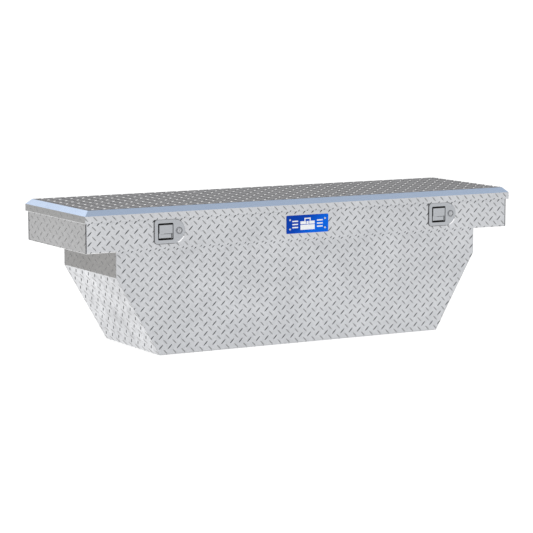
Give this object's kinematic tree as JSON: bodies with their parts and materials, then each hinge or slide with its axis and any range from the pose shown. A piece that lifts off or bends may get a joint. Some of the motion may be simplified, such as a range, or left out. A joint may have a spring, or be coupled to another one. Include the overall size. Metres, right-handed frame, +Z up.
{
  "type": "truck tool box",
  "caption": "Crossover aluminium tread plate tool box with two wings, sloped ends, one full-width hinged lid on gas struts, paddle latches with key locks.",
  "frame": {"origin": "middle of the floor panel's underside, below the middle of the lid", "axes": "+Z up; +X along the box, to the right seen from the front; the latched front faces -Y and the hinge is at +Y"},
  "size_m": [1.778, 0.512, 0.531],
  "materials": {
    "tread_plate": "satin",
    "lid_tread_plate": "satin",
    "bevel_strip": "satin",
    "mill_sheet": "satin",
    "stainless": "satin",
    "zinc_steel": "satin",
    "lock_chrome": "polished",
    "badge_blue": "gloss",
    "seal_rubber": "matte",
    "strut_black": "satin",
    "strut_rod_chrome": "polished"
  },
  "bodies": {
    "tub": {"upper_front_panel": "tread_plate", "upper_back_panel": "tread_plate", "left_wing_end": "tread_plate", "right_wing_end": "tread_plate", "lower_front_panel": "tread_plate", "lower_back_panel": "tread_plate", "left_end_panel": "tread_plate", "right_end_panel": "tread_plate", "floor_panel": "tread_plate", "hinge_body_leaf": "stainless", "hinge_pin": "stainless", "hinge_body_rivets": "mill_sheet", "badge_plate": "badge_blue", "badge_rivets": "mill_sheet", "latch_nuts": "zinc_steel", "left_latch_dish": "stainless", "left_latch_gasket": "seal_rubber", "left_paddle_pin": "stainless", "left_claw_bracket": "zinc_steel", "left_claw_pin": "zinc_steel", "left_lock_housing": "lock_chrome", "left_strut_foot": "zinc_steel", "right_latch_dish": "stainless", "right_latch_gasket": "seal_rubber", "right_paddle_pin": "stainless", "right_claw_bracket": "zinc_steel", "right_claw_pin": "zinc_steel", "right_lock_housing": "lock_chrome", "right_strut_foot": "zinc_steel"},
    "lid": {"lid_top_panel": "lid_tread_plate", "lid_bevel_front": "bevel_strip", "lid_bevel_back": "bevel_strip", "lid_bevel_left": "bevel_strip", "lid_bevel_right": "bevel_strip", "lid_skirt_front": "tread_plate", "lid_skirt_back": "tread_plate", "lid_skirt_left": "tread_plate", "lid_skirt_right": "tread_plate", "lid_inner_pan": "mill_sheet", "lid_stiffeners": "mill_sheet", "lid_seal": "seal_rubber", "hinge_lid_leaf": "stainless", "hinge_lid_rivets": "mill_sheet", "left_striker": "zinc_steel", "left_strut_hanger": "zinc_steel", "right_striker": "zinc_steel", "right_strut_hanger": "zinc_steel"},
    "left_paddle": {"left_paddle": "stainless"},
    "left_claw": {"left_claw": "zinc_steel"},
    "left_lock_plug": {"left_lock_plug": "lock_chrome"},
    "left_strut_cylinder": {"left_strut_cylinder": "strut_black"},
    "left_strut_rod": {"left_strut_rod": "strut_rod_chrome"},
    "right_paddle": {"right_paddle": "stainless"},
    "right_claw": {"right_claw": "zinc_steel"},
    "right_lock_plug": {"right_lock_plug": "lock_chrome"},
    "right_strut_cylinder": {"right_strut_cylinder": "strut_black"},
    "right_strut_rod": {"right_strut_rod": "strut_rod_chrome"}
  },
  "joints": [
    {"name": "lid_hinge", "type": "hinge", "parent": "tub", "child": "lid", "pos_m": [0, 0.24945, 0.49], "axis": [-1, 0, 0], "range_deg": [0, 75]},
    {"name": "left_paddle_pull", "type": "hinge", "parent": "tub", "child": "left_paddle", "pos_m": [-0.575, -0.239, 0.463], "axis": [-1, 0, 0], "range_deg": [0, 40], "stiffness_Nm_per_rad": 0.4, "springref_deg": -14.32},
    {"name": "left_claw_turn", "type": "hinge", "parent": "tub", "child": "left_claw", "pos_m": [-0.575, -0.186, 0.45], "axis": [1, 0, 0], "range_deg": [0, 29.69], "stiffness_Nm_per_rad": 0.2, "springref_deg": -14.32},
    {"name": "left_key_turn", "type": "hinge", "parent": "tub", "child": "left_lock_plug", "pos_m": [-0.522, -0.24, 0.444], "axis": [0, -1, 0], "range_deg": [0, 90]},
    {"name": "left_strut_swing", "type": "hinge", "parent": "tub", "child": "left_strut_cylinder", "pos_m": [-0.835, 0.20945, 0.4], "axis": [-1, 0, 0], "range_deg": [0, 57.71]},
    {"name": "left_strut_extend", "type": "slide", "parent": "left_strut_cylinder", "child": "left_strut_rod", "axis": [0, -0.8528, 0.5223], "range_m": [0, 0.09768]},
    {"name": "right_paddle_pull", "type": "hinge", "parent": "tub", "child": "right_paddle", "pos_m": [0.575, -0.239, 0.463], "axis": [-1, 0, 0], "range_deg": [0, 40], "stiffness_Nm_per_rad": 0.4, "springref_deg": -14.32},
    {"name": "right_claw_turn", "type": "hinge", "parent": "tub", "child": "right_claw", "pos_m": [0.575, -0.186, 0.45], "axis": [1, 0, 0], "range_deg": [0, 29.69], "stiffness_Nm_per_rad": 0.2, "springref_deg": -14.32},
    {"name": "right_key_turn", "type": "hinge", "parent": "tub", "child": "right_lock_plug", "pos_m": [0.628, -0.24, 0.444], "axis": [0, -1, 0], "range_deg": [0, 90]},
    {"name": "right_strut_swing", "type": "hinge", "parent": "tub", "child": "right_strut_cylinder", "pos_m": [0.835, 0.20945, 0.4], "axis": [-1, 0, 0], "range_deg": [0, 57.71]},
    {"name": "right_strut_extend", "type": "slide", "parent": "right_strut_cylinder", "child": "right_strut_rod", "axis": [0, -0.8528, 0.5223], "range_m": [0, 0.09768]}
  ],
  "couplings": [
    {"joint": "left_claw_turn", "follows": "left_paddle_pull", "ratio": 0.742},
    {"joint": "left_strut_swing", "follows": "lid_hinge", "ratio": 0.76936},
    {"joint": "left_strut_extend", "follows": "lid_hinge", "m_per_rad": 0.074604},
    {"joint": "right_claw_turn", "follows": "right_paddle_pull", "ratio": 0.742},
    {"joint": "right_strut_swing", "follows": "lid_hinge", "ratio": 0.76936},
    {"joint": "right_strut_extend", "follows": "lid_hinge", "m_per_rad": 0.074604}
  ]
}
